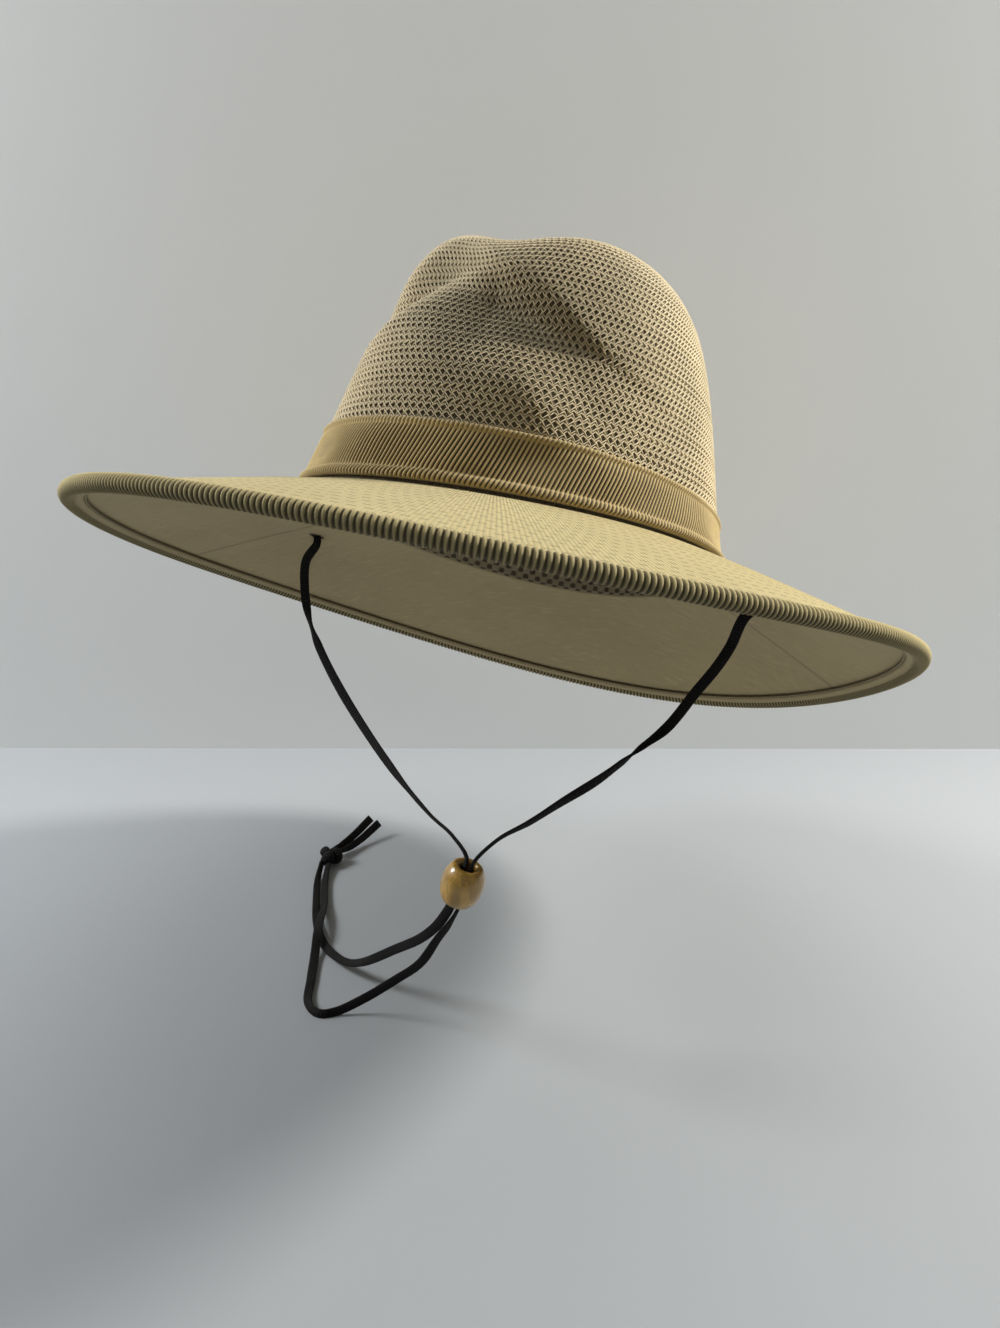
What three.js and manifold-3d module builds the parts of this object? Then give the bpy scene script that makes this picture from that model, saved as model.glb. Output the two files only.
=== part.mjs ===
// Safari hat: a pinched mesh crown, a ribbed cloth band, a drooping canvas brim with a fat rolled edge,
// and a flat chin lace drawn through a wooden barrel bead. Millimetres, +Z up, the wearer faces -Y.
// The hat is worn tipped back, as a head holds it. The origin is the middle of the head opening.
import * as THREE from 'three';
import { mergeVertices } from 'three/addons/utils/BufferGeometryUtils.js';
import Module from 'manifold-3d';

const wasm = await Module();
wasm.setup();

// ---------------------------------------------------------------- driving dimensions
const TIPPED_BACK = THREE.MathUtils.degToRad(25);
const AROUND = 64; // flats round the crown, the band and the brim
const GAP = 0.3; // between pieces that touch

// Crown: outside half sizes of the head opening, then how the wall leans in and rounds over.
const HALF_LENGTH = 101.5;
const HALF_WIDTH = 82.5;
const CROWN_HEIGHT = 106.5;
const CROWN_FRONT_RISE = 2.5; // the top edge is this much higher over the brow than at the middle
const CROWN_LEAN = 5.2; // the soft crown leans to the wearer's left
const CROWN_WALL = 1.6;
const CROWN_HEM = 1.4; // the wall reaches this far down inside the brim
const LEAN_IN = { front: 0.188, back: 0.11, side: 0.345 };
const ROUND_UP = 0.408; // powers of the rounded-box profile
const ROUND_IN = 0.278;
const BACK_DIP = 12; // the head opening dips at the nape

// Centre crease along the top, open at the brow.
const CREASE = { depth: 9, halfWidth: 22, backEnd: 45, fade: 14 };

// Pinches in the crown wall (a bulge where the depth is negative): angle from the brow, positive to the
// wearer's left, and height as a share of the crown; spread in degrees either way, reach above and below
// as shares, and slope in share per degree.
const PINCHES = [
  { angle: 14, height: 0.575, depth: 16, spread: 30, above: 0.2, below: 0.24, slope: -0.0042 },
  { angle: 28, height: 0.33, depth: -3.5, spread: 11, above: 0.17, below: 0.17, slope: -0.006 },
  { angle: -32, height: 0.7, depth: 11, spread: 20, above: 0.16, below: 0.13, slope: 0.0045 },
];

// Band: sections from the brim up, offsets outward from the crown wall.
const BAND_HEIGHT = 23;
const BAND_SAG = { depth: 5, angle: 110, spread: 50 }; // the top edge sits lower at the wearer's left
const BAND_FOOT = 1.9;
const BAND_OUTSIDE = [
  { height: 23, out: 1.5 },
  { height: 15, out: 1.6 },
  { height: 7.5, out: 1.7 },
  { height: 5, out: 2.5 },
  { height: 3.2, out: 3.1 },
  { height: 1.9, out: 2.7 },
];

// Brim: width from the crown to the middle of the rolled edge, sheet thickness and droop.
const BRIM_WIDTH = 86;
const BRIM_WIDER_AT_BACK = 4.5;
const BRIM_WIDER_AT_RIGHT = 1.5;
const BRIM_SHEET = 2.2;
const BRIM_CURL = 1.08; // power of the drop from the crown to the edge
// Droop of the rolled edge below the crown base, as waves round the brim.
const DROOP_WAVES = [
  { times: 0, along: 32.8, across: 0 },
  { times: 1, along: -16.8, across: 0.7 },
  { times: 2, along: 6.0, across: 0.7 },
  { times: 3, along: -1.4, across: 2.1 },
];
const ROLL_RADIUS = 3.0;
const ROLL_SIDES = 8;
const HEM_WIDTH = 6.5;
const HEM_SHEET = 1.0;

// Lace slits in the underside of the brim.
const SLIT = { angle: 100, fromCrown: 24, length: 10, width: 4, depth: 1.5 };

// Lace, bead and knot. The lace is a flat tape; its solid is a round cord of the same bulk.
const LACE_RADIUS = 1.5;
const LACE_SIDES = 8;
const BEAD = { length: 17.6, radius: 9.1, endRadius: 6.6, holeRadius: 4, sides: 16 };
const BEAD_CENTRE = new THREE.Vector3(0.2, -57.5, -135);
const BEAD_AXIS = new THREE.Vector3(0.277, 0.116, 1).normalize();
const STRANDS_APART = 3.5;
const KNOT_CENTRE = new THREE.Vector3(-126, 43, -212.6);
const KNOT_RADII = new THREE.Vector3(5.4, 5.2, 4.4);

// Routes of the two strands, from below the slit to just above the bead.
const RIGHT_FALL = [
  [-109, 12, -30],
  [-110.5, 11.5, -42],
  [-108.5, 10, -57],
  [-102.5, 7.5, -70],
  [-89, 0.5, -85],
  [-68, -11, -100.5],
  [-45, -25.5, -111],
  [-22, -41, -116.5],
  [-7, -51, -117.5],
];
const LEFT_FALL = [
  [95.5, 7.2, -24.4],
  [90.5, 5.8, -38.3],
  [86, 3.6, -47.3],
  [79, 1.7, -58.4],
  [69, -2.8, -74.5],
  [60, -10.3, -82.5],
  [46.5, -21.9, -94],
  [34, -32.9, -102],
  [23.5, -42, -109],
  [13.5, -50, -114.5],
];
// From below the bead, over to the left and back to the knot.
const RIGHT_TAIL = [
  [-9, -57.5, -154.5],
  [-16.2, -53.3, -165.5],
  [-26, -48.5, -177],
  [-40.3, -43.1, -190],
  [-60.3, -39.2, -206],
  [-72.1, -34.9, -212.5],
  [-86.4, -26.8, -215.8],
  [-94.1, -20.6, -215.9],
  [-100.6, -13.2, -215.9],
  [-106.8, -4.5, -215.9],
  [-112, 4.2, -215.8],
  [-122.6, 23.5, -215.6],
  [-127.8, 37, -213.7],
];
const LEFT_TAIL = [
  [-5.4, -59.4, -155.5],
  [-12, -57.6, -166.5],
  [-21.4, -56, -183],
  [-35.4, -54, -198],
  [-50, -58.3, -210],
  [-60.3, -64.6, -215.4],
  [-67, -69, -215.6],
  [-75, -65, -215.6],
  [-83.1, -49.3, -215.6],
  [-90.8, -32.6, -214.8],
  [-95.6, -22, -212],
  [-99.4, -13.5, -211.9],
  [-103.5, -4, -213.2],
  [-108.2, 6, -215.5],
  [-119, 25.4, -215.6],
  [-124, 37.2, -213.8],
];
const RIGHT_END = [
  [-127.6, 49.3, -212.6],
  [-125.4, 56.5, -212.6],
  [-122.6, 66, -210.5],
  [-119.4, 78, -206.5],
];
const LEFT_END = [
  [-123.9, 49.1, -213],
  [-121.6, 55.9, -213.6],
  [-119, 65.4, -213],
  [-115.8, 77.4, -210.2],
];

// ---------------------------------------------------------------- materials
function cloth(colour, roughness = 0.95) {
  return new THREE.MeshStandardMaterial({ color: colour, roughness, metalness: 0 });
}
const MESH_CLOTH = cloth(0xb8a888);
const BAND_CLOTH = cloth(0xb79f62);
const CANVAS = cloth(0xd3c693);
const CANVAS_UNDER = cloth(0xab9866);
const LACE_BLACK = cloth(0x12110f, 0.85);
const HONEY_WOOD = cloth(0xc79a4c, 0.35);

// ---------------------------------------------------------------- crown surface
// Angles run from the brow towards the wearer's left.
function openingPoint(angle) {
  return new THREE.Vector2(HALF_WIDTH * Math.sin(angle), -HALF_LENGTH * Math.cos(angle));
}

function openingOutward(angle) {
  return new THREE.Vector2(Math.sin(angle) / HALF_WIDTH, -Math.cos(angle) / HALF_LENGTH).normalize();
}

function openingHeight(angle) {
  return -BACK_DIP * ((1 - Math.cos(angle)) / 2) ** 3;
}

function bell(distance) {
  return Math.exp(-distance * distance);
}

// A fold with a rounded valley, straight sides and rounded shoulders one reach away.
function fold(distance) {
  const inside = 1 - Math.hypot(distance, 0.12);
  return Math.log1p(Math.exp(9 * inside)) / 9;
}

function pinchDepth(angle, share) {
  let depth = 0;
  for (const pinch of PINCHES) {
    const degrees = THREE.MathUtils.radToDeg(angle) - pinch.angle;
    const turn = THREE.MathUtils.euclideanModulo(degrees + 180, 360) - 180;
    const rise = share - pinch.height - pinch.slope * turn;
    depth += pinch.depth * bell(turn / pinch.spread) * fold(rise / (rise > 0 ? pinch.above : pinch.below));
  }
  return depth;
}

// sweep runs from 0 at the head opening to a quarter turn at the top.
function crownPoint(angle, sweep) {
  const share = Math.sin(Math.max(sweep, 0)) ** ROUND_UP;
  const closing = sweep > 1.5707 ? 0 : Math.cos(sweep) ** ROUND_IN;
  const ahead = Math.cos(angle);
  const lean = (ahead > 0 ? LEAN_IN.front : LEAN_IN.back) * ahead ** 2 + LEAN_IN.side * Math.sin(angle) ** 2;
  const flat = openingPoint(angle).multiplyScalar((1 - lean * share) * closing);
  const rise = CROWN_HEIGHT - CROWN_FRONT_RISE * flat.y / HALF_LENGTH;
  const reach = flat.length();
  if (reach > 1e-6) flat.multiplyScalar(1 - pinchDepth(angle, share) * Math.min(1, reach / 40) / reach);
  const creaseEnd = (1 - Math.tanh((flat.y - CREASE.backEnd) / CREASE.fade)) / 2;
  const crease = CREASE.depth * bell(flat.x / CREASE.halfWidth) * creaseEnd * share ** 4;
  const height = openingHeight(angle) * (1 - share) + rise * share - crease;
  return new THREE.Vector3(flat.x + CROWN_LEAN * share, flat.y, height);
}

// The point moved out of the surface by a distance, along the normal that three near points give.
function movedOut(surface, angle, along, distance) {
  const here = surface(angle, along);
  const round = surface(angle + 0.01, along).sub(surface(angle - 0.01, along));
  const up = surface(angle, along + 0.004).sub(surface(angle, along - 0.004));
  const outward = round.cross(up).normalize();
  return here.addScaledVector(outward, distance);
}

function sweepForShare(share) {
  return Math.asin(share ** (1 / ROUND_UP));
}

// ---------------------------------------------------------------- brim surface
function brimEdge(angle) {
  let droop = 0;
  for (const wave of DROOP_WAVES) {
    droop += wave.along * Math.cos(wave.times * angle) + wave.across * Math.sin(wave.times * angle);
  }
  const width = BRIM_WIDTH - BRIM_WIDER_AT_BACK * Math.cos(angle) - BRIM_WIDER_AT_RIGHT * Math.sin(angle);
  const drop = droop + openingHeight(angle);
  const reach = Math.sqrt(width ** 2 - drop ** 2);
  const flat = openingPoint(angle).addScaledVector(openingOutward(angle), reach);
  return new THREE.Vector3(flat.x, flat.y, -droop);
}

// share runs from 0 at the crown to 1 at the middle of the rolled edge.
function brimPoint(angle, share) {
  const inner = openingPoint(angle);
  const edge = brimEdge(angle);
  const height = openingHeight(angle) * (1 - share) + edge.z * Math.max(share, 0) ** BRIM_CURL;
  return new THREE.Vector3(
    THREE.MathUtils.lerp(inner.x, edge.x, share),
    THREE.MathUtils.lerp(inner.y, edge.y, share),
    height,
  );
}

function brimLayer(angle, share, lift) {
  return movedOut(brimPoint, angle, share, -lift);
}

// ---------------------------------------------------------------- solids
// A lathe whose stations are set round the hat by place(angle, station).
function roundTheHat(stations, onAxis, place) {
  const profile = [];
  for (let station = 0; station < stations; station += 1) {
    const ends = station === 0 || station === stations - 1;
    profile.push(new THREE.Vector2(onAxis && ends ? 0 : 1, station));
  }
  const geometry = new THREE.LatheGeometry(profile, AROUND);
  const position = geometry.getAttribute('position');
  for (let index = 0; index < position.count; index += 1) {
    const flatIndex = Math.floor(index / stations) % AROUND;
    const point = place(2 * Math.PI * flatIndex / AROUND, index % stations);
    position.setXYZ(index, point.x, point.y, point.z);
  }
  geometry.computeVertexNormals();
  return geometry;
}

function crownGeometry() {
  const wallShares = [0.09, 0.15, 0.21, 0.26, 0.33, 0.41, 0.5, 0.58, 0.66, 0.74, 0.82, 0.9];
  const topClosings = [0.8, 0.7, 0.58, 0.44, 0.28, 0.12];
  const sweeps = [0];
  for (const share of wallShares) sweeps.push(sweepForShare(share));
  for (const closing of topClosings) sweeps.push(Math.acos(closing ** (1 / ROUND_IN)));
  const rows = [];
  rows.push({ top: 0 });
  for (const sweep of [...sweeps].reverse()) rows.push({ sweep, inset: 0 });
  rows.push({ hem: true, inset: 0 });
  rows.push({ hem: true, inset: CROWN_WALL });
  for (const sweep of sweeps) rows.push({ sweep, inset: CROWN_WALL });
  rows.push({ top: CROWN_WALL });
  rows.reverse();
  return roundTheHat(rows.length, true, (angle, station) => {
    const row = rows[station];
    if (row.top !== undefined) {
      const top = crownPoint(0, Math.PI / 2);
      top.z -= row.top;
      return top;
    }
    if (row.hem) {
      const flat = openingPoint(angle).addScaledVector(openingOutward(angle), -row.inset);
      return new THREE.Vector3(flat.x, flat.y, openingHeight(angle) - CROWN_HEM);
    }
    return movedOut(crownPoint, angle, row.sweep, -row.inset);
  });
}

// The band lies on the crown wall; its foot flares into a rounded lip over the brim.
function bandGeometry() {
  const section = [];
  for (const row of BAND_OUTSIDE) section.push({ height: row.height, out: row.out });
  for (const height of [BAND_FOOT, 5, 10, 16.5, BAND_HEIGHT]) section.push({ height, out: GAP });
  section.push(section[0]);
  section.reverse();
  return roundTheHat(section.length, false, (angle, station) => {
    const { height, out } = section[station];
    const sag = BAND_SAG.depth * bell((THREE.MathUtils.radToDeg(angle) - BAND_SAG.angle) / BAND_SAG.spread);
    const sunk = height - sag * (height - BAND_FOOT) / (BAND_HEIGHT - BAND_FOOT);
    return movedOut(crownPoint, angle, sweepForShare(sunk / CROWN_HEIGHT), out);
  });
}

function sheetGeometry(shares, upper, lower) {
  const section = [];
  for (const share of shares) section.push({ share, lift: upper });
  for (const share of [...shares].reverse()) section.push({ share, lift: lower });
  section.push(section[0]);
  section.reverse();
  return roundTheHat(section.length, false, (angle, station) => {
    const { share, lift } = section[station];
    return brimLayer(angle, share, lift);
  });
}

const SHEET_END = 1 - (ROLL_RADIUS + GAP) / BRIM_WIDTH;

function brimGeometry() {
  const start = 0.9 / BRIM_WIDTH;
  return sheetGeometry([start, 0.2, 0.42, 0.64, 0.84, SHEET_END], BRIM_SHEET / 2, -BRIM_SHEET / 2);
}

// The hem of the top cloth, turned under and stitched to the underside.
function hemGeometry() {
  const upper = -BRIM_SHEET / 2 - GAP;
  return sheetGeometry([1 - HEM_WIDTH / BRIM_WIDTH, 0.943, SHEET_END], upper, upper - HEM_SHEET);
}

function rollGeometry() {
  return roundTheHat(ROLL_SIDES + 1, false, (angle, station) => {
    const turn = 2 * Math.PI * ((station % ROLL_SIDES) + 0.5) / ROLL_SIDES;
    const outward = openingOutward(angle);
    const centre = brimEdge(angle);
    const across = ROLL_RADIUS * Math.cos(turn);
    return centre.add(new THREE.Vector3(outward.x * across, outward.y * across, ROLL_RADIUS * Math.sin(turn)));
  });
}

function solidOf(geometry) {
  const bare = geometry.clone();
  bare.deleteAttribute('normal');
  bare.deleteAttribute('uv');
  const merged = mergeVertices(bare, 1e-3);
  return new wasm.Manifold(new wasm.Mesh({
    numProp: 3,
    vertProperties: new Float32Array(merged.getAttribute('position').array),
    triVerts: new Uint32Array(merged.index.array),
  }));
}

function geometryOf(solid) {
  const mesh = solid.getMesh();
  const geometry = new THREE.BufferGeometry();
  geometry.setAttribute('position', new THREE.BufferAttribute(mesh.vertProperties, 3));
  geometry.setIndex(new THREE.BufferAttribute(mesh.triVerts, 1));
  geometry.computeVertexNormals();
  return geometry;
}

// Where a lace leaves the brim: the middle of its slit and the directions of the sheet there.
function slitPlace(side) {
  const angle = THREE.MathUtils.degToRad(side * SLIT.angle);
  const share = SLIT.fromCrown / BRIM_WIDTH;
  const middle = brimPoint(angle, share);
  const downward = brimLayer(angle, share, -1).sub(middle).normalize();
  const round = brimPoint(angle + 0.01, share).sub(brimPoint(angle - 0.01, share)).normalize();
  return { middle, downward, round };
}

function slitCutter(side) {
  const { middle, downward, round } = slitPlace(side);
  const box = new THREE.BoxGeometry(SLIT.length, SLIT.width, SLIT.depth * 2);
  const across = new THREE.Vector3().crossVectors(downward, round);
  const centre = middle.clone().addScaledVector(downward, BRIM_SHEET / 2);
  box.applyMatrix4(new THREE.Matrix4().makeBasis(round, across, downward).setPosition(centre));
  return box;
}

function slottedBrimGeometry() {
  let brim = solidOf(brimGeometry());
  for (const side of [-1, 1]) brim = brim.subtract(solidOf(slitCutter(side)));
  return geometryOf(brim);
}

// ---------------------------------------------------------------- lace, bead and knot
function worn(vector) {
  return vector.clone().applyAxisAngle(new THREE.Vector3(1, 0, 0), -TIPPED_BACK);
}

function laceGeometry(points, steps) {
  const corners = [];
  for (let corner = 0; corner < LACE_SIDES; corner += 1) {
    const turn = 2 * Math.PI * corner / LACE_SIDES;
    corners.push(new THREE.Vector2(LACE_RADIUS * Math.cos(turn), LACE_RADIUS * Math.sin(turn)));
  }
  const extrudePath = new THREE.CatmullRomCurve3(points, false, 'centripetal');
  return new THREE.ExtrudeGeometry(new THREE.Shape(corners), { steps, bevelEnabled: false, extrudePath });
}

// A whole strand: out of its slit, down to the bead, through it side by side, and on to the knot.
function strandPoints(side, fall, tail) {
  const { middle, downward } = slitPlace(side);
  const points = [];
  for (const below of [0.2, 4.5]) points.push(worn(middle.clone().addScaledVector(downward, below)));
  for (const row of fall) points.push(new THREE.Vector3(...row));
  const apart = new THREE.Vector3().crossVectors(new THREE.Vector3(0, 1, 0), BEAD_AXIS).normalize();
  for (const along of [12, 6, 0, -6, -12]) {
    const inside = BEAD_CENTRE.clone().addScaledVector(BEAD_AXIS, along);
    points.push(inside.addScaledVector(apart, side * STRANDS_APART / 2));
  }
  for (const row of tail) points.push(new THREE.Vector3(...row));
  return points;
}

function beadGeometry() {
  const half = BEAD.length / 2;
  const profile = [new THREE.Vector2(BEAD.holeRadius, -half)];
  for (const along of [-1, -0.8, -0.4, 0, 0.4, 0.8, 1]) {
    const bulge = (1 - Math.abs(along) ** 2.4) * (BEAD.radius - BEAD.endRadius);
    profile.push(new THREE.Vector2(BEAD.endRadius + bulge, along * half));
  }
  profile.push(new THREE.Vector2(BEAD.holeRadius, half));
  profile.push(profile[0].clone());
  return new THREE.LatheGeometry(profile, BEAD.sides);
}

// ---------------------------------------------------------------- assembly
function piece(name, geometry, material) {
  const mesh = new THREE.Mesh(geometry, material);
  mesh.name = name;
  return mesh;
}

const hat = new THREE.Group();
hat.rotation.x = -TIPPED_BACK;
hat.add(piece('crown', crownGeometry(), MESH_CLOTH));
hat.add(piece('hat_band', bandGeometry(), BAND_CLOTH));
hat.add(piece('brim', slottedBrimGeometry(), CANVAS));
hat.add(piece('brim_hem', hemGeometry(), CANVAS_UNDER));
hat.add(piece('rolled_edge', rollGeometry(), CANVAS));

const bead = piece('bead', beadGeometry(), HONEY_WOOD);
bead.position.copy(BEAD_CENTRE);
bead.quaternion.setFromUnitVectors(new THREE.Vector3(0, 1, 0), BEAD_AXIS);

const knot = piece('lace_knot', new THREE.SphereGeometry(1, 12, 8), LACE_BLACK);
knot.position.copy(KNOT_CENTRE);
knot.scale.copy(KNOT_RADII);

const chinLace = new THREE.Group();
chinLace.add(piece('chin_lace_right', laceGeometry(strandPoints(-1, RIGHT_FALL, RIGHT_TAIL), 38), LACE_BLACK));
chinLace.add(piece('chin_lace_left', laceGeometry(strandPoints(1, LEFT_FALL, LEFT_TAIL), 38), LACE_BLACK));
chinLace.add(bead);
chinLace.add(knot);
for (const [name, route] of [['lace_end_right', RIGHT_END], ['lace_end_left', LEFT_END]]) {
  const points = route.map((row) => new THREE.Vector3(...row));
  chinLace.add(piece(name, laceGeometry(points, 4), LACE_BLACK));
}

const safariHat = new THREE.Group();
safariHat.name = 'safari_hat';
safariHat.add(hat);
safariHat.add(chinLace);

export default safariHat;
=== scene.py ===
"""Safari hat: a pinched knit crown, a ribbed band, a drooping canvas brim with a fat rolled edge,
and a flat chin lace drawn through a wooden bead. Metres, +Z up, the wearer faces -Y."""
import bisect
import math

import bmesh
import bpy
from bpy.props import FloatProperty, FloatVectorProperty, IntProperty, PointerProperty
from mathutils import Matrix, Vector
from mathutils.geometry import interpolate_bezier


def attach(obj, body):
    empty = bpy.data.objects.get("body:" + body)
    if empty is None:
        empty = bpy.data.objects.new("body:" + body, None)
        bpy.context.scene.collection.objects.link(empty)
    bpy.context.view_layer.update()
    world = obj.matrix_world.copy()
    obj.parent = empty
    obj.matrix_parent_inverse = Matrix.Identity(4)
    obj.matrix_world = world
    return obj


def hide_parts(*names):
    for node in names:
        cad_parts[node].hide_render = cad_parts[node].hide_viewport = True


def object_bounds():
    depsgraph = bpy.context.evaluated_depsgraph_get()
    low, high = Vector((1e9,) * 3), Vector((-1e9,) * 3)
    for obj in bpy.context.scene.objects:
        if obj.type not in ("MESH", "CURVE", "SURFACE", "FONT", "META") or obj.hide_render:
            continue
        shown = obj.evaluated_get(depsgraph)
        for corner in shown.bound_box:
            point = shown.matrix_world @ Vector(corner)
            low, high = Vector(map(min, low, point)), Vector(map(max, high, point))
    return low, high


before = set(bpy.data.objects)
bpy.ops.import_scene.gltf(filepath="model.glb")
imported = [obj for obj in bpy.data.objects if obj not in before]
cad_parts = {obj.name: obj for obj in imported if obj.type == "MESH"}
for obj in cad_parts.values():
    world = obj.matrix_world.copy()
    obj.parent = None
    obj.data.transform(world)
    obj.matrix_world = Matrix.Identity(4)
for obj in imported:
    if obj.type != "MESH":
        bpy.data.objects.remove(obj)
CAD_BOX = [list(corner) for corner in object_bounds()]

bl_info = {
    "name": "Safari hat",
    "version": (1, 0, 0),
    "blender": (4, 5, 0),
    "location": "3D View > Sidebar > Safari hat",
    "description": "Builds a safari hat with a knit crown and a chin lace on its CAD frame",
    "category": "Object",
}

TURN = 2 * math.pi
MM = 0.001

# ---------------------------------------------------------------- form of the hat, in millimetres
HALF_LENGTH = 101.5
HALF_WIDTH = 82.5
CROWN_HEIGHT = 106.5
CROWN_FRONT_RISE = 2.5
CROWN_LEAN = 5.2
CROWN_WALL = 1.6
CROWN_HEM = 1.4
LEAN_IN = {"front": 0.188, "back": 0.11, "side": 0.345}
ROUND_UP = 0.408
ROUND_IN = 0.278
BACK_DIP = 12
CREASE = {"depth": 9, "half_width": 22, "back_end": 45, "fade": 14}
PINCHES = [
    {"angle": 14, "height": 0.615, "depth": 14, "spread": 31, "above": 0.135, "below": 0.24, "slope": -0.0042, "widens": 0.0036},
    {"angle": -32, "height": 0.7, "depth": 11, "spread": 20, "above": 0.16, "below": 0.13, "slope": 0.0045, "widens": 0},
]
FOLD_RIDGE = {"angle": 20, "height": 0.38, "lean": -60, "rise": 4.2, "half_width": 15, "reach": 0.3}
BAND_HEIGHT = 23
BAND_FOOT = 1.9
BAND_SAG = {"depth": 5, "angle": 110, "spread": 50}
BRIM_WIDTH = 86
BRIM_WIDER_AT_BACK = 4.5
BRIM_WIDER_AT_RIGHT = 1.5
BRIM_SHEET = 2.2
BRIM_CURL = 1.08
DROOP_WAVES = [(0, 32.8, 0), (1, -16.8, 0.7), (2, 6.0, 0.7), (3, -1.4, 2.1)]
ROLL_RADIUS = 3.0
HEM_WIDTH = 6.5
SLIT = {"angle": 100, "from_crown": 24, "length": 10.0, "width": 2.8}
TIPPED_BACK = Matrix.Rotation(math.radians(-25), 3, "X")

# The lace's route, in metres: the same points as its solids follow.
RIGHT_FALL = [
    (-0.109, 0.012, -0.030), (-0.1105, 0.0115, -0.042), (-0.1085, 0.010, -0.057), (-0.1025, 0.0075, -0.070),
    (-0.089, 0.0005, -0.085), (-0.068, -0.011, -0.1005), (-0.045, -0.0255, -0.111), (-0.022, -0.041, -0.1165),
    (-0.007, -0.051, -0.1175),
]
LEFT_FALL = [
    (0.0955, 0.0072, -0.0244), (0.0905, 0.0058, -0.0383), (0.086, 0.0036, -0.0473), (0.079, 0.0017, -0.0584),
    (0.069, -0.0028, -0.0745), (0.060, -0.0103, -0.0825), (0.0465, -0.0219, -0.094), (0.034, -0.0329, -0.102),
    (0.0235, -0.042, -0.109), (0.0135, -0.050, -0.1145),
]
RIGHT_TAIL = [
    (-0.009, -0.0575, -0.1545), (-0.0162, -0.0533, -0.1655), (-0.026, -0.0485, -0.177), (-0.0403, -0.0431, -0.190),
    (-0.0603, -0.0392, -0.206), (-0.0721, -0.0349, -0.2125), (-0.0864, -0.0268, -0.2158),
    (-0.0941, -0.0206, -0.2159), (-0.1006, -0.0132, -0.2159), (-0.1068, -0.0045, -0.2159),
    (-0.112, 0.0042, -0.2158), (-0.1226, 0.0235, -0.2156), (-0.1278, 0.037, -0.2137),
]
LEFT_TAIL = [
    (-0.0054, -0.0594, -0.1555), (-0.012, -0.0576, -0.1665), (-0.0214, -0.056, -0.183), (-0.0354, -0.054, -0.198),
    (-0.050, -0.0583, -0.210), (-0.0603, -0.0646, -0.2154), (-0.067, -0.069, -0.2156), (-0.075, -0.065, -0.2156),
    (-0.0831, -0.0493, -0.2156), (-0.0908, -0.0326, -0.2148), (-0.0956, -0.022, -0.212),
    (-0.0994, -0.0135, -0.2119), (-0.1035, -0.004, -0.2132), (-0.1082, 0.006, -0.2155),
    (-0.119, 0.0254, -0.2156), (-0.124, 0.0372, -0.2138),
]
RIGHT_END = [(-0.1276, 0.0493, -0.2126), (-0.1254, 0.0565, -0.2126), (-0.1226, 0.066, -0.2105), (-0.1194, 0.078, -0.2065)]
LEFT_END = [(-0.1239, 0.0491, -0.213), (-0.1216, 0.0559, -0.2136), (-0.119, 0.0654, -0.213), (-0.1150, 0.0795, -0.2094)]
BEAD_CENTRE = Vector((0.0002, -0.0575, -0.135))
BEAD_AXIS = Vector((0.277, 0.116, 1)).normalized()
STRANDS_APART = 0.0035
KNOT_CENTRE = Vector((-0.126, 0.043, -0.2126))
FLAT_FACES = Vector((0.36, -0.85, 0.39))
FLOOR_HEIGHT = CAD_BOX[0][2]

CAMERA_PLACE = Vector((0.17785, -0.44143, 0.15024))
CAMERA_RIGHT = Vector((0.92220, 0.38672, 0.00080))
CAMERA_UP = Vector((-0.15617, 0.37053, 0.91560))
CAMERA_FORWARD = Vector((-0.35378, 0.84449, -0.40209))


def bell(distance):
    return math.exp(-distance * distance)


def fold(distance):
    """A rounded valley with straight sides and rounded shoulders one reach away."""
    inside = 1 - math.hypot(distance, 0.06)
    return math.log1p(math.exp(15 * inside)) / 15


def opening_point(angle):
    return Vector((HALF_WIDTH * math.sin(angle), -HALF_LENGTH * math.cos(angle)))


def opening_outward(angle):
    return Vector((math.sin(angle) / HALF_WIDTH, -math.cos(angle) / HALF_LENGTH)).normalized()


def opening_height(angle):
    return -BACK_DIP * ((1 - math.cos(angle)) / 2) ** 3


def pinch_depth(angle, share):
    depth = 0
    for pinch in PINCHES:
        turn = (math.degrees(angle) - pinch["angle"] + 180) % 360 - 180
        rise = share - pinch["height"] - pinch["slope"] * turn
        above = max(0.045, pinch["above"] - pinch["widens"] * turn)
        reach = above if rise > 0 else pinch["below"]
        opened = min(1.3, above / pinch["above"])
        depth += pinch["depth"] * opened * bell(turn / pinch["spread"]) * fold(rise / reach)
    up = share - FOLD_RIDGE["height"]
    across = (math.degrees(angle) - FOLD_RIDGE["angle"] + 180) % 360 - 180 - FOLD_RIDGE["lean"] * up
    return depth - FOLD_RIDGE["rise"] * fold(across / FOLD_RIDGE["half_width"]) * fold(up / FOLD_RIDGE["reach"])


def crown_point(angle, sweep):
    """The crown's outside, from sweep 0 at the head opening to a quarter turn at the top."""
    share = math.sin(max(sweep, 0)) ** ROUND_UP
    closing = 0 if sweep > 1.5707 else math.cos(sweep) ** ROUND_IN
    ahead = math.cos(angle)
    end = LEAN_IN["front"] if ahead > 0 else LEAN_IN["back"]
    lean = end * ahead ** 2 + LEAN_IN["side"] * math.sin(angle) ** 2
    flat = opening_point(angle) * (1 - lean * share) * closing
    rise = CROWN_HEIGHT - CROWN_FRONT_RISE * flat.y / HALF_LENGTH
    reach = flat.length
    if reach > 1e-6:
        flat *= 1 - pinch_depth(angle, share) * min(1, reach / 40) / reach
    crease_end = (1 - math.tanh((flat.y - CREASE["back_end"]) / CREASE["fade"])) / 2
    crease = CREASE["depth"] * bell(flat.x / CREASE["half_width"]) * crease_end * share ** 4
    height = opening_height(angle) * (1 - share) + rise * share - crease
    return Vector((flat.x + CROWN_LEAN * share, flat.y, height))


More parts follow.
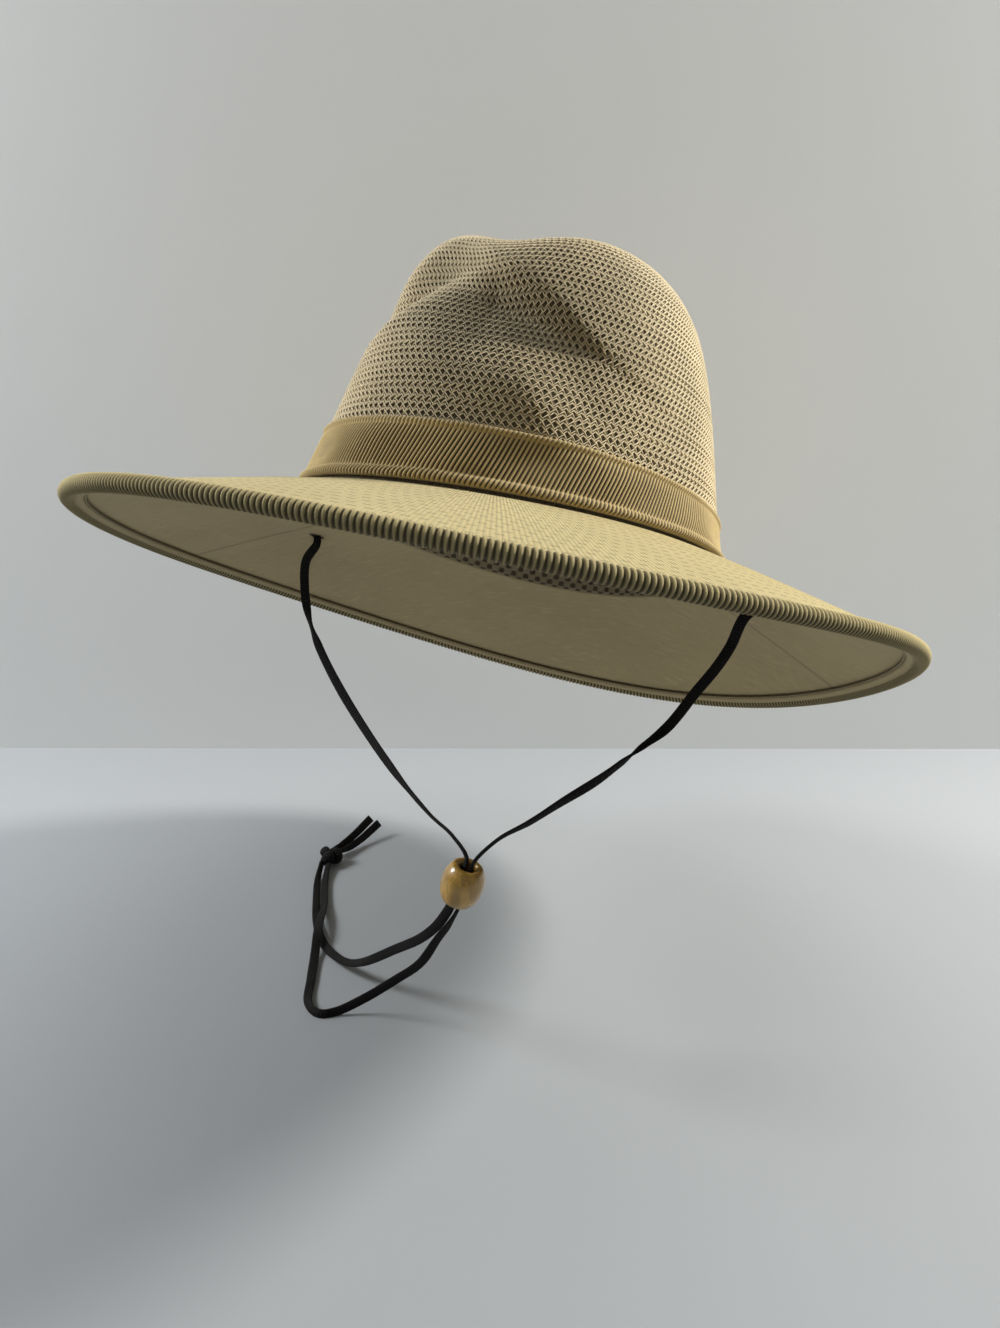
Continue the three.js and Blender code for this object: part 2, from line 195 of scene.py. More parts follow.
def sweep_for_share(share):
    return math.asin(max(share, 0) ** (1 / ROUND_UP))


def brim_width(angle):
    return BRIM_WIDTH - BRIM_WIDER_AT_BACK * math.cos(angle) - BRIM_WIDER_AT_RIGHT * math.sin(angle)


def brim_edge(angle):
    droop = sum(along * math.cos(times * angle) + across * math.sin(times * angle) for times, along, across in DROOP_WAVES)
    drop = droop + opening_height(angle)
    reach = math.sqrt(brim_width(angle) ** 2 - drop ** 2)
    flat = opening_point(angle) + opening_outward(angle) * reach
    return Vector((flat.x, flat.y, -droop))


def brim_point(angle, share):
    """The middle of the brim's sheet, from share 0 at the crown to 1 in the rolled edge."""
    inner = opening_point(angle)
    edge = brim_edge(angle)
    height = opening_height(angle) * (1 - share) + edge.z * max(share, 0) ** BRIM_CURL
    return Vector((inner.x + (edge.x - inner.x) * share, inner.y + (edge.y - inner.y) * share, height))


def moved_out(surface, angle, along, distance):
    """The point moved out of the surface by a distance, along the normal that near points give."""
    around = surface(angle + 0.01, along) - surface(angle - 0.01, along)
    up = surface(angle, along + 0.004) - surface(angle, along - 0.004)
    return surface(angle, along) + around.cross(up).normalized() * distance


def worn(point):
    """From the hat's own millimetres to the part's metres, tipped back as it is worn."""
    return TIPPED_BACK @ (point * MM)


def evenly_round(line):
    """The angle at an even share of the way round a closed line, as a function, and the way's length."""
    steps = 720
    ends = [line(TURN * step / steps) for step in range(steps + 1)]
    walked = [0.0]
    for here, there in zip(ends, ends[1:]):
        walked.append(walked[-1] + (there - here).length)

    def angle(turn):
        whole, part = divmod(turn / TURN, 1)
        step = min(max(bisect.bisect(walked, part * walked[-1]) - 1, 0), steps - 1)
        share = (part * walked[-1] - walked[step]) / (walked[step + 1] - walked[step])
        return TURN * (whole + (step + share) / steps)

    return angle, walked[-1]


# ---------------------------------------------------------------- mesh helpers
def drawn(name, sides, stations, place, chart, closed=False, capped=False, mark=None):
    """A circle of edges extruded from station to station, each vertex set by place(turn, station).

    chart(turn, station) gives the UV, and mark(turn, station) a value for the attribute mark."""
    bm = bmesh.new()
    turn_layer = bm.verts.layers.float.new("turn")
    step_layer = bm.verts.layers.int.new("step")
    mark_layer = bm.verts.layers.float.new("mark")
    ring = bmesh.ops.create_circle(bm, segments=sides, radius=1)["verts"]
    for index, vert in enumerate(ring):
        vert[turn_layer] = TURN * index / sides
    edges = list({edge for vert in ring for edge in vert.link_edges})
    first = edges
    for step, station in enumerate(stations):
        if step:
            made = bmesh.ops.extrude_edge_only(bm, edges=edges)["geom"]
            ring = [item for item in made if isinstance(item, bmesh.types.BMVert)]
            fresh = set(ring)
            edges = [item for item in made if isinstance(item, bmesh.types.BMEdge) and fresh.issuperset(item.verts)]
        for vert in ring:
            vert.co = place(vert[turn_layer], station)
            vert[step_layer] = step
            if mark:
                vert[mark_layer] = mark(vert[turn_layer], station)
    if closed:
        bmesh.ops.bridge_loops(bm, edges=first + edges)
    if capped:
        bmesh.ops.holes_fill(bm, edges=first, sides=0)
        bmesh.ops.holes_fill(bm, edges=edges, sides=0)
    uv_layer = bm.loops.layers.uv.new("surface")
    last = len(stations)
    for face in bm.faces:
        turns = [loop.vert[turn_layer] for loop in face.loops]
        steps = [loop.vert[step_layer] for loop in face.loops]
        wraps = max(turns) - min(turns) > math.pi and len(turns) == 4
        rejoins = max(steps) - min(steps) > 1 and closed
        for loop in face.loops:
            turn = loop.vert[turn_layer]
            step = loop.vert[step_layer]
            if wraps and turn < math.pi:
                turn += TURN
            station = stations[step]
            loop[uv_layer].uv = chart(turn, station, rejoins and step < last / 2)
    return bm


def finished(name, bm, materials, slot, *nodes, smooth=True, merge=1e-6):
    """Closes a bmesh into a named object that rides on the hat and stands for its CAD nodes."""
    bmesh.ops.remove_doubles(bm, verts=bm.verts, dist=merge)
    bmesh.ops.recalc_face_normals(bm, faces=bm.faces)
    if bm.calc_volume(signed=True) < 0:
        bmesh.ops.reverse_faces(bm, faces=bm.faces)
    mesh = bpy.data.meshes.new(name)
    for face in bm.faces:
        face.smooth = smooth
    bm.to_mesh(mesh)
    bm.free()
    piece = bpy.data.objects.new(name, mesh)
    bpy.context.scene.collection.objects.link(piece)
    for material in materials:
        mesh.materials.append(material)
    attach(piece, "root")
    if nodes:
        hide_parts(*nodes)
    return piece


def curve_points(points, count):
    """A centripetal Catmull-Rom line through the points, sampled evenly."""
    dense = []
    for index in range(len(points) - 1):
        before = points[max(index - 1, 0)] if index else points[0] * 2 - points[1]
        after = points[index + 2] if index + 2 < len(points) else points[-1] * 2 - points[-2]
        here, there = points[index], points[index + 1]
        gaps = [max((b - a).length ** 0.5, 1e-4) for a, b in ((before, here), (here, there), (there, after))]
        start = ((here - before) / gaps[0] - (there - before) / (gaps[0] + gaps[1]) + (there - here) / gaps[1]) * gaps[1]
        finish = ((there - here) / gaps[1] - (after - here) / (gaps[1] + gaps[2]) + (after - there) / gaps[2]) * gaps[1]
        dense += interpolate_bezier(here, here + start / 3, there - finish / 3, there, 24)[:-1]
    dense.append(points[-1].copy())
    lengths = [0.0]
    for a, b in zip(dense, dense[1:]):
        lengths.append(lengths[-1] + (b - a).length)
    line = []
    index = 0
    for number in range(count):
        target = lengths[-1] * number / (count - 1)
        while index < len(dense) - 2 and lengths[index + 1] < target:
            index += 1
        span = lengths[index + 1] - lengths[index]
        share = min(max((target - lengths[index]) / span, 0), 1) if span else 0
        line.append(dense[index].lerp(dense[index + 1], share))
    return line, lengths[-1]


# ---------------------------------------------------------------- materials
class Cloth:
    """A material's node tree, with short calls for the nodes that the finishes here need."""

    def __init__(self, name, roughness=0.9, sheen=0.0):
        self.material = bpy.data.materials.new(name)
        self.material.use_nodes = True
        self.tree = self.material.node_tree
        self.shader = self.tree.nodes["Principled BSDF"]
        self.shader.inputs["Roughness"].default_value = roughness
        self.shader.inputs["Sheen Weight"].default_value = sheen
        self.shader.inputs["Sheen Roughness"].default_value = 0.5
        self.shader.inputs["Specular IOR Level"].default_value = 0.25

    def node(self, kind, **settings):
        made = self.tree.nodes.new(kind)
        for key, value in settings.items():
            setattr(made, key, value)
        return made

    def link(self, source, target):
        self.tree.links.new(source, target)

    def maths(self, operation, *values):
        made = self.node("ShaderNodeMath", operation=operation)
        for socket, value in zip(made.inputs, values):
            if isinstance(value, (int, float)):
                socket.default_value = value
            else:
                self.link(value, socket)
        return made.outputs[0]

    def chart(self):
        """The two coordinates of the piece's own UV map."""
        coordinates = self.node("ShaderNodeUVMap", uv_map="surface")
        split = self.node("ShaderNodeSeparateXYZ")
        self.link(coordinates.outputs["UV"], split.inputs[0])
        return split.outputs["X"], split.outputs["Y"]

    def noise(self, scale, detail=3.0, roughness=0.55, stretch=(1, 1, 1)):
        """Object-space noise, from 0 to 1, with the scale in waves a metre."""
        place = self.node("ShaderNodeTexCoord")
        mapping = self.node("ShaderNodeMapping")
        mapping.inputs["Scale"].default_value = stretch
        made = self.node("ShaderNodeTexNoise")
        made.inputs["Scale"].default_value = scale
        made.inputs["Detail"].default_value = detail
        made.inputs["Roughness"].default_value = roughness
        self.link(place.outputs["Object"], mapping.inputs["Vector"])
        self.link(mapping.outputs["Vector"], made.inputs["Vector"])
        return made.outputs["Fac"]

    def mix(self, share, first, second, blend="MIX"):
        """Two colours mixed by a share, where any of them may be a socket."""
        made = self.node("ShaderNodeMix", data_type="RGBA", blend_type=blend)
        for socket, value in ((made.inputs[0], share), (made.inputs[6], first), (made.inputs[7], second)):
            if isinstance(value, (int, float)):
                socket.default_value = value
            elif isinstance(value, (tuple, list)) or hasattr(value, "hex"):
                socket.default_value = (*tuple(value)[:3], 1)
            else:
                self.link(value, socket)
        return made.outputs[2]

    def stretch(self, value, low, high, to_low=0.0, to_high=1.0):
        made = self.node("ShaderNodeMapRange", interpolation_type="SMOOTHSTEP")
        for socket, number in zip(made.inputs[1:5], (low, high, to_low, to_high)):
            socket.default_value = number
        self.link(value, made.inputs[0])
        return made.outputs[0]

    def colour(self, socket):
        self.link(socket, self.shader.inputs["Base Color"])

    def relief(self, height, distance, strength=1.0):
        bump = self.node("ShaderNodeBump")
        bump.inputs["Distance"].default_value = distance
        bump.inputs["Strength"].default_value = strength
        self.link(height, bump.inputs["Height"])
        self.link(bump.outputs["Normal"], self.shader.inputs["Normal"])


def shaded(colour, factor):
    return tuple(channel * factor for channel in tuple(colour)[:3])


def canvas_material(colour):
    """Ribbed canvas: radial ribs crossed by rows of short dashes, with painted shade in the valleys between the ribs.
    """
    cloth = Cloth("canvas_top", 0.92, 0.05)
    rib, row = cloth.chart()
    ridge = cloth.maths("ABSOLUTE", cloth.maths("SINE", cloth.maths("MULTIPLY", rib, math.pi)))
    row_share = cloth.maths("FRACT", row)
    near_dash = cloth.maths("SUBTRACT", 1, cloth.stretch(cloth.maths("ABSOLUTE", cloth.maths("SUBTRACT", row_share, 0.5)), 0.05, 0.13))
    brick = cloth.maths("FRACT", cloth.maths("ADD", cloth.maths("MULTIPLY", rib, 1 / 3), cloth.maths("MULTIPLY", cloth.maths("FLOOR", row), 0.5)))
    on_dash = cloth.stretch(cloth.maths("ABSOLUTE", cloth.maths("SUBTRACT", brick, 0.5)), 0.24, 0.30, 1, 0)
    dash = cloth.maths("MULTIPLY", near_dash, on_dash)
    thread = cloth.noise(2600, 2, 0.6)
    patch = cloth.noise(18, 3)
    base = cloth.mix(cloth.stretch(patch, 0.3, 0.7), shaded(colour, 0.93), shaded(colour, 1.06))
    base = cloth.mix(cloth.stretch(thread, 0.35, 0.65, 0, 0.5), base, shaded(colour, 0.82))
    # Painted shade: the valleys between the ribs are darkened towards half the canvas colour.
    base = cloth.mix(cloth.stretch(ridge, 0.0, 0.5, 0.24, 0), base, shaded(colour, 0.5))
    base = cloth.mix(cloth.maths("MULTIPLY", dash, 0.55), base, shaded(colour, 0.34))
    cloth.colour(base)
    height = cloth.maths("ADD", cloth.maths("MULTIPLY", ridge, 0.7), cloth.maths("MULTIPLY", thread, 0.35))
    height = cloth.maths("SUBTRACT", height, cloth.maths("MULTIPLY", dash, 0.8))
    cloth.relief(height, 0.0005, 0.8)
    return cloth.material


def edge_material(colour):
    """The same canvas wrapped over the roll, with painted shade in the valleys between its ribs and on the underside of
    the roll.
    """
    cloth = Cloth("rolled_canvas", 0.92, 0.05)
    mark = cloth.node("ShaderNodeAttribute", attribute_name="mark").outputs["Fac"]
    thread = cloth.noise(2600, 2, 0.6)
    patch = cloth.noise(22, 3)
    base = cloth.mix(cloth.stretch(patch, 0.3, 0.7), shaded(colour, 0.95), shaded(colour, 1.05))
    base = cloth.mix(cloth.stretch(thread, 0.35, 0.65, 0, 0.4), base, shaded(colour, 0.84))
    # Painted shade: where mark is low, in the rib valleys and on the roll's underside, the canvas goes nearly black.
    base = cloth.mix(cloth.stretch(mark, 0.2, 0.95, 0.95, 0), base, shaded(colour, 0.14))
    cloth.colour(base)
    cloth.relief(thread, 0.0003, 0.6)
    return cloth.material


def under_material(colour, seams):
    """Plain smooth lining cloth with two radial seams and faint slubs."""
    cloth = Cloth("lining_cloth", 0.9, 0.05)
    around, row = cloth.chart()
    thread = cloth.noise(1900, 2, 0.6)
    slub = cloth.noise(130, 3, 0.6, (1, 6, 1))
    patch = cloth.noise(14, 2)
    base = cloth.mix(cloth.stretch(patch, 0.3, 0.7), shaded(colour, 0.94), shaded(colour, 1.05))
    base = cloth.mix(cloth.stretch(thread, 0.3, 0.7, 0, 0.35), base, shaded(colour, 0.82))
    base = cloth.mix(cloth.stretch(slub, 0.52, 0.75, 0, 0.5), base, shaded(colour, 1.3))
    base = cloth.mix(cloth.stretch(slub, 0.25, 0.42, 0.35, 0), base, shaded(colour, 0.62))
    height = cloth.maths("MULTIPLY", thread, 0.5)
    for place in seams:
        off = cloth.maths("ABSOLUTE", cloth.maths("SUBTRACT", around, place))
        line = cloth.stretch(off, 0.15, 0.95, 1, 0)
        base = cloth.mix(cloth.maths("MULTIPLY", line, 0.45), base, shaded(colour, 0.45))
        height = cloth.maths("SUBTRACT", height, line)
    cloth.colour(base)
    cloth.relief(height, 0.0003, 0.6)
    return cloth.material


def band_material(colour):
    """Corded cloth with painted shade: pale on the ribs and painted dark in the valleys between them."""
    cloth = Cloth("band_cloth", 0.8, 0.08)
    mark = cloth.node("ShaderNodeAttribute", attribute_name="mark").outputs["Fac"]
    thread = cloth.noise(2400, 2, 0.6)
    patch = cloth.noise(26, 3)
    base = cloth.mix(cloth.stretch(patch, 0.3, 0.7), shaded(colour, 0.88), shaded(colour, 1.08))
    base = cloth.mix(cloth.stretch(thread, 0.35, 0.65, 0, 0.4), base, shaded(colour, 0.8))
    # Painted shade in the valleys between the cords, from the mark that the band's stations set.
    base = cloth.mix(cloth.stretch(mark, 0.3, 1.05, 1, 0), base, shaded(colour, 0.1))
    cloth.colour(base)
    cloth.relief(thread, 0.0003, 0.6)
    return cloth.material


def yarn_material(colour):
    cloth = Cloth("knit_yarn", 0.85, 0.08)
    thread = cloth.noise(3200, 2, 0.65)
    patch = cloth.noise(30, 3)
    base = cloth.mix(cloth.stretch(patch, 0.3, 0.7), shaded(colour, 0.9), shaded(colour, 1.08))
    base = cloth.mix(cloth.stretch(thread, 0.35, 0.65, 0, 0.45), base, shaded(colour, 0.7))
    cloth.colour(base)
    cloth.relief(thread, 0.0003, 0.7)
    return cloth.material


def knit_painted_shade_material(colour):
    """The inner face of the knit, with rows of small openings: painted shade darkens the knit colour, and the openings
    are painted nearly black as shade.
    """
    cloth = Cloth("knit_inside_painted_shade", 0.95, 0.1)
    around, row = cloth.chart()
    wave = cloth.maths("SINE", cloth.maths("MULTIPLY", around, TURN))
    rows = cloth.maths("SINE", cloth.maths("MULTIPLY", row, TURN))
    opening = cloth.stretch(cloth.maths("MULTIPLY", wave, rows), -0.1, 0.6)
    thread = cloth.noise(2600, 2, 0.6)
    # Painted shade: the face at 0.62 of the knit colour and the openings at 0.14.
    base = cloth.mix(opening, shaded(colour, 0.62), shaded(colour, 0.14))
    base = cloth.mix(cloth.stretch(thread, 0.3, 0.7, 0, 0.4), base, shaded(colour, 0.3))
    cloth.colour(base)
    cloth.relief(cloth.maths("SUBTRACT", 1, opening), 0.0006, 0.8)
    return cloth.material


def hollow_painted_shade_material(colour):
    """Painted shade for what is seen between the yarns: the same cloth's colour darkened to 0.12 to 0.28 of itself."""
    cloth = Cloth("knit_hollow_painted_shade", 1.0)
    thread = cloth.noise(1500, 2, 0.6)
    cloth.colour(cloth.mix(cloth.stretch(thread, 0.3, 0.7), shaded(colour, 0.12), shaded(colour, 0.28)))
    return cloth.material


def lace_material(colour):
    """Flat black tape with a woven herringbone along it."""
    cloth = Cloth("lace_tape", 0.8, 0.0)
    across, along = cloth.chart()
    slant = cloth.maths("ABSOLUTE", cloth.maths("SUBTRACT", cloth.maths("FRACT", across), 0.5))
    weave = cloth.maths("SINE", cloth.maths("MULTIPLY", cloth.maths("ADD", cloth.maths("MULTIPLY", along, 1500), cloth.maths("MULTIPLY", slant, 6)), TURN / 2))
    thread = cloth.noise(3000, 2, 0.6)
    base = cloth.mix(cloth.stretch(weave, -0.6, 0.9), shaded(colour, 0.6), shaded(colour, 1.5))
    base = cloth.mix(cloth.stretch(thread, 0.5, 0.8, 0, 0.4), base, shaded(colour, 2.2))
    cloth.colour(base)
    cloth.relief(cloth.maths("ADD", weave, thread), 0.00022, 0.7)
    return cloth.material


def stitch_material(colour):
    cloth = Cloth("stitch_thread", 0.85, 0.2)
    thread = cloth.noise(4000, 2, 0.6)
    cloth.colour(cloth.mix(cloth.stretch(thread, 0.3, 0.7), shaded(colour, 0.7), shaded(colour, 1.05)))
    cloth.relief(thread, 0.0002, 0.6)
    return cloth.material


def slit_painted_shade_material():
    cloth = Cloth("slit_shade", 0.95)
    thread = cloth.noise(2500, 2, 0.6)
    # Painted shade: the inside of the slit is nearly black.
    cloth.colour(cloth.mix(thread, (0.01, 0.008, 0.005), (0.03, 0.022, 0.012)))
    return cloth.material


def wood_material(colour):
    """Varnished pale wood with long grain, growth rings, fine pores and a few darker streaks."""
    wood = Cloth("varnished_wood", 0.32)
    wood.shader.inputs["Specular IOR Level"].default_value = 0.5
    wood.shader.inputs["Coat Weight"].default_value = 0.7
    wood.shader.inputs["Coat Roughness"].default_value = 0.12
    across, along = wood.chart()
    grain = wood.noise(900, 4, 0.6, (1.6, 1.6, 0.12))
    rings = wood.noise(160, 2, 0.5, (1.4, 1.4, 0.2))
    pores = wood.noise(2600, 2, 0.7, (1.3, 1.3, 0.12))
    base = wood.mix(wood.stretch(rings, 0.35, 0.68), shaded(colour, 0.72), shaded(colour, 1.18))
    base = wood.mix(wood.stretch(grain, 0.42, 0.72, 0, 0.6), base, shaded(colour, 0.46))
    base = wood.mix(wood.stretch(pores, 0.6, 0.75, 0, 0.5), base, shaded(colour, 0.3))
    wood.colour(base)
    wood.relief(grain, 0.00012, 0.5)
    return wood.material


# ---------------------------------------------------------------- sizes and colours
class HatSizes(bpy.types.PropertyGroup):
    rib_pitch: FloatProperty(name="Brim rib pitch", description="Width of one rib of the canvas at the rolled edge", default=0.00196, min=0.001, subtype="DISTANCE", unit="LENGTH")
    band_pitch: FloatProperty(name="Band rib pitch", description="Width of one cord of the hat band", default=0.00164, min=0.001, subtype="DISTANCE", unit="LENGTH")
    knit_cells: IntProperty(name="Knit cells", description="Stitches in one round of the crown's wall", default=172, min=40)
    knit_pitch: FloatProperty(name="Knit rounds", description="Distance from one round of the knit to the next", default=0.0027, subtype="DISTANCE", unit="LENGTH")
    yarn_radius: FloatProperty(name="Yarn radius", description="Half the thickness of the crown's yarn", default=0.00038, subtype="DISTANCE", unit="LENGTH")
    lace_width: FloatProperty(name="Lace width", description="Width of the flat chin lace", default=0.0044, subtype="DISTANCE", unit="LENGTH")
    lace_thickness: FloatProperty(name="Lace thickness", description="Thickness of the flat chin lace", default=0.0012, subtype="DISTANCE", unit="LENGTH")
    bead_length: FloatProperty(name="Bead length", description="Length of the wooden bead", default=0.0176, subtype="DISTANCE", unit="LENGTH")
    bead_radius: FloatProperty(name="Bead radius", description="Radius of the bead at its middle", default=0.0091, subtype="DISTANCE", unit="LENGTH")


class HatColours(bpy.types.PropertyGroup):
    knit: FloatVectorProperty(name="Knit", description="Colour of the crown's yarn", subtype="COLOR", default=(0.70, 0.585, 0.375))
    band: FloatVectorProperty(name="Band", description="Colour of the hat band", subtype="COLOR", default=(0.56, 0.42, 0.19))
    canvas: FloatVectorProperty(name="Canvas", description="Colour of the brim's top cloth", subtype="COLOR", default=(0.52, 0.43, 0.215))
    lining: FloatVectorProperty(name="Lining", description="Colour of the brim's underside", subtype="COLOR", default=(0.44, 0.35, 0.185))
    lace: FloatVectorProperty(name="Lace", description="Colour of the chin lace", subtype="COLOR", default=(0.006, 0.005, 0.0045))
    wood: FloatVectorProperty(name="Wood", description="Colour of the bead", subtype="COLOR", default=(0.52, 0.30, 0.055))


def edge_ribs():
    """The even way round the brim's edge, and the whole number of ribs along it."""
    angle, length = evenly_round(brim_edge)
    return angle, round(length * MM / sizes().rib_pitch)


def sizes():
    return bpy.context.scene.safari_hat_sizes


def colours():
    return bpy.context.scene.safari_hat_colours


# ---------------------------------------------------------------- laces
def slit_place(side):
    """The middle of a slit, and the direction down through the sheet and round the brim there."""
    angle = math.radians(side * SLIT["angle"])
    share = SLIT["from_crown"] / BRIM_WIDTH
    middle = brim_point(angle, share)
    downward = (moved_out(brim_point, angle, share, 1) - middle).normalized()
    if downward.z > 0:
        downward.negate()
    around = (brim_point(angle + 0.01, share) - brim_point(angle - 0.01, share)).normalized()
    return middle, downward, around


def strand_points(side, fall, tail):
    middle, downward, _ = slit_place(side)
    points = [worn(middle + downward * below) for below in (0.2, 4.5)]
    points += [Vector(row) for row in fall]
    apart = Vector((0, 1, 0)).cross(BEAD_AXIS).normalized()
    for along in (0.012, 0.006, 0, -0.006, -0.012):
        points.append(BEAD_CENTRE + BEAD_AXIS * along + apart * side * STRANDS_APART / 2)
    return points + [Vector(row) for row in tail]


def tape(name, points, count, twists, slot_name, nodes, width=None):
    """A flat woven tape along a line. twists are (share of the length, roll in degrees of its flat side, how far it is drawn together)."""
    width = width or sizes().lace_width
    thickness = sizes().lace_thickness
    line, length = curve_points(points, count)
    sides = 12
    frames = []
    for index, point in enumerate(line):
        ahead = (line[min(index + 1, count - 1)] - line[max(index - 1, 0)]).normalized()
        share = index / (count - 1)
        low = max((row for row in twists if row[0] <= share), key=lambda row: row[0])
        high = min((row for row in twists if row[0] >= share), key=lambda row: row[0])
        span = high[0] - low[0]
        part = (share - low[0]) / span if span else 0
        part = part * part * (3 - 2 * part)
        roll = math.radians(low[1] + (high[1] - low[1]) * part)
        pinch = 1 - 0.62 * low[2] - 0.62 * (high[2] - low[2]) * part
        level = ahead.cross(FLAT_FACES).normalized()
        level = Matrix.Rotation(roll, 3, ahead) @ level
        frames.append((point, level, ahead.cross(level).normalized(), pinch, length * share))

    def place(turn, station):
        point, wide, thick, pinch, _ = frames[station]
        across = math.copysign(abs(math.cos(turn)) ** 0.55, math.cos(turn)) * width / 2 * pinch
        swell = 1 + 0.9 * (1 - pinch)
        up = math.copysign(abs(math.sin(turn)) ** 0.75, math.sin(turn)) * thickness / 2 * swell
        return point + wide * across + thick * up

    def chart(turn, station, _):
        return turn / TURN * 2, frames[station][4]

    bm = drawn(name, sides, list(range(count)), place, chart, capped=True)
    piece = finished(name, bm, [bpy.data.materials["lace_tape"]], slot_name, *nodes)
    return piece, line, length


class HAT_OT_laces(bpy.types.Operator):
    """Draws the two flat strands of the chin lace from their slits, through the bead, to the knot"""

    bl_idname = "safari_hat.laces"
    bl_label = "Chin lace"

    def execute(self, context):
        lace_material(colours().lace)
        knot = knotted(KNOT_CENTRE)
        # (share of the length, roll of the flat side in degrees, how far it is drawn together)
        right_twists = [(0, 30, 0.2), (0.025, 10, 0), (0.085, 12, 0), (0.115, 66, 0.1), (0.14, 25, 0), (0.2, 12, 0), (0.3, 30, 0),
                        (0.37, 60, 0.3), (0.41, 75, 0.5), (0.47, 75, 0.5), (0.5, 35, 0.15), (0.56, 14, 0), (0.7, 22, 0),
                        (0.77, 55, 0.1), (0.84, 30, 0), (0.95, 35, 0.2), (1, 50, 0.5)]
        left_twists = [(0, 20, 0.2), (0.03, 10, 0), (0.17, 14, 0), (0.2, 60, 0.15), (0.23, 130, 0.1), (0.27, 152, 0), (0.33, 128, 0.1),
                       (0.38, 105, 0.45), (0.46, 100, 0.5), (0.5, 150, 0.2), (0.55, 166, 0), (0.68, 172, 0), (0.74, 190, 0.1),
                       (0.82, 200, 0), (0.9, 160, 0.1), (0.96, 165, 0.2), (1, 150, 0.5)]
        for side, fall, tail, twists, name in (
            (-1, RIGHT_FALL, RIGHT_TAIL, right_twists, "right"),
            (1, LEFT_FALL, LEFT_TAIL, left_twists, "left"),
        ):
            points = strand_points(side, fall, tail)
            piece, line, length = tape(f"lace_strand_{name}", points, 230, twists, "lace", [f"chin_lace_{name}"])
            tuple(line[0])
            [tuple(point) for point in line]
        for route, name in ((RIGHT_END, "right"), (LEFT_END, "left")):
            points = [Vector(row) for row in route]
            twists = [(0, 40, 0.45), (0.3, 18, 0.05), (1, 8, 0)]
            piece, line, length = tape(f"lace_tip_{name}", points, 40, twists, "lace", [f"lace_end_{name}"])
            tuple(line[0])
            [tuple(point) for point in line]
        return {"FINISHED"}


def knotted(centre):
    """The lace's overhand knot: a three-lobed loop of the same tape, drawn tight."""
    scale = Vector((0.0028, 0.0026, 0.0031))
    count = 96
    ring = []
    for index in range(count):
        turn = TURN * index / count
        ring.append(centre + Vector((
            scale.x * (math.sin(turn) + 1.35 * math.sin(2 * turn)) * 0.72,
            scale.y * (math.cos(turn) - 1.35 * math.cos(2 * turn)) * 0.72,
            scale.z * -math.sin(3 * turn) * 0.62,
        )))

    def place(turn, station):
        here = ring[station % count]
        ahead = (ring[(station + 1) % count] - ring[station - 1]).normalized()
        outward = (here - centre).normalized()
        wide = ahead.cross(outward).normalized()
        thick = wide.cross(ahead).normalized()
        return here + wide * math.cos(turn) * 0.0029 + thick * math.sin(turn) * 0.0022

    def chart(turn, station, _):
        return turn / TURN * 2, station * 0.0003

    bm = drawn("lace_knot", 12, list(range(count)), place, chart, closed=True)
    return finished("tied_knot", bm, [bpy.data.materials["lace_tape"]], "lace", "lace_knot")


class HAT_OT_bead(bpy.types.Operator):
    """Turns the wooden barrel bead, with its hole and eased ends"""

    bl_idname = "safari_hat.bead"
    bl_label = "Wooden bead"

    def execute(self, context):
        half = sizes().bead_length / 2
        radius = sizes().bead_radius
        end = radius * 0.725
        hole = 0.004
        to_axis = Vector((0, 0, 1)).rotation_difference(BEAD_AXIS).to_matrix()
        profile = [(hole, -half + 0.0006), (hole + 0.0005, -half), (end - 0.0006, -half)]
        for number in range(-12, 13):
            share = number / 12
            profile.append((end + (1 - abs(share) ** 2.4) * (radius - end), share * (half - 0.00035)))
        profile += [(end - 0.0006, half), (hole + 0.0005, half), (hole, half - 0.0006)]
        for number in range(1, 8):
            profile.append((hole, half - 0.0006 - (2 * half - 0.0012) * number / 8))

        def place(turn, station):
            reach, along = profile[station]
            return BEAD_CENTRE + to_axis @ Vector((reach * math.cos(turn), reach * math.sin(turn), along))

        def chart(turn, station, _):
            return turn / TURN, profile[station][1] * 40

        bm = drawn("wooden_bead", 64, list(range(len(profile))), place, chart, closed=True)
        finished("wooden_bead", bm, [wood_material(colours().wood)], "bead_wood", "bead")
        return {"FINISHED"}


# ---------------------------------------------------------------- crown
def crown_rounds():
    """Sweeps up the crown with the distance from the head opening to each, over a mean meridian."""
    sweeps = [sweep_for_share(number / 160) for number in range(0, 145)]
    start = math.cos(sweeps[-1]) ** ROUND_IN
    sweeps += [math.acos((start * (1 - number / 140)) ** (1 / ROUND_IN)) for number in range(1, 140)]
    distances = [0.0]
    for low, high in zip(sweeps, sweeps[1:]):
        steps = [(crown_point(angle, high) - crown_point(angle, low)).length for angle in (0.6, 1.9, 3.1, -1.3)]
        distances.append(distances[-1] + sum(steps) / len(steps))
    return sweeps, distances


def sweep_at(rounds, distance):
    sweeps, distances = rounds
    if distance <= 0:
        return 0.0
    for index in range(len(sweeps) - 1):
        if distances[index + 1] >= distance:
            share = (distance - distances[index]) / (distances[index + 1] - distances[index])
            return sweeps[index] + (sweeps[index + 1] - sweeps[index]) * share
    return sweeps[-1]


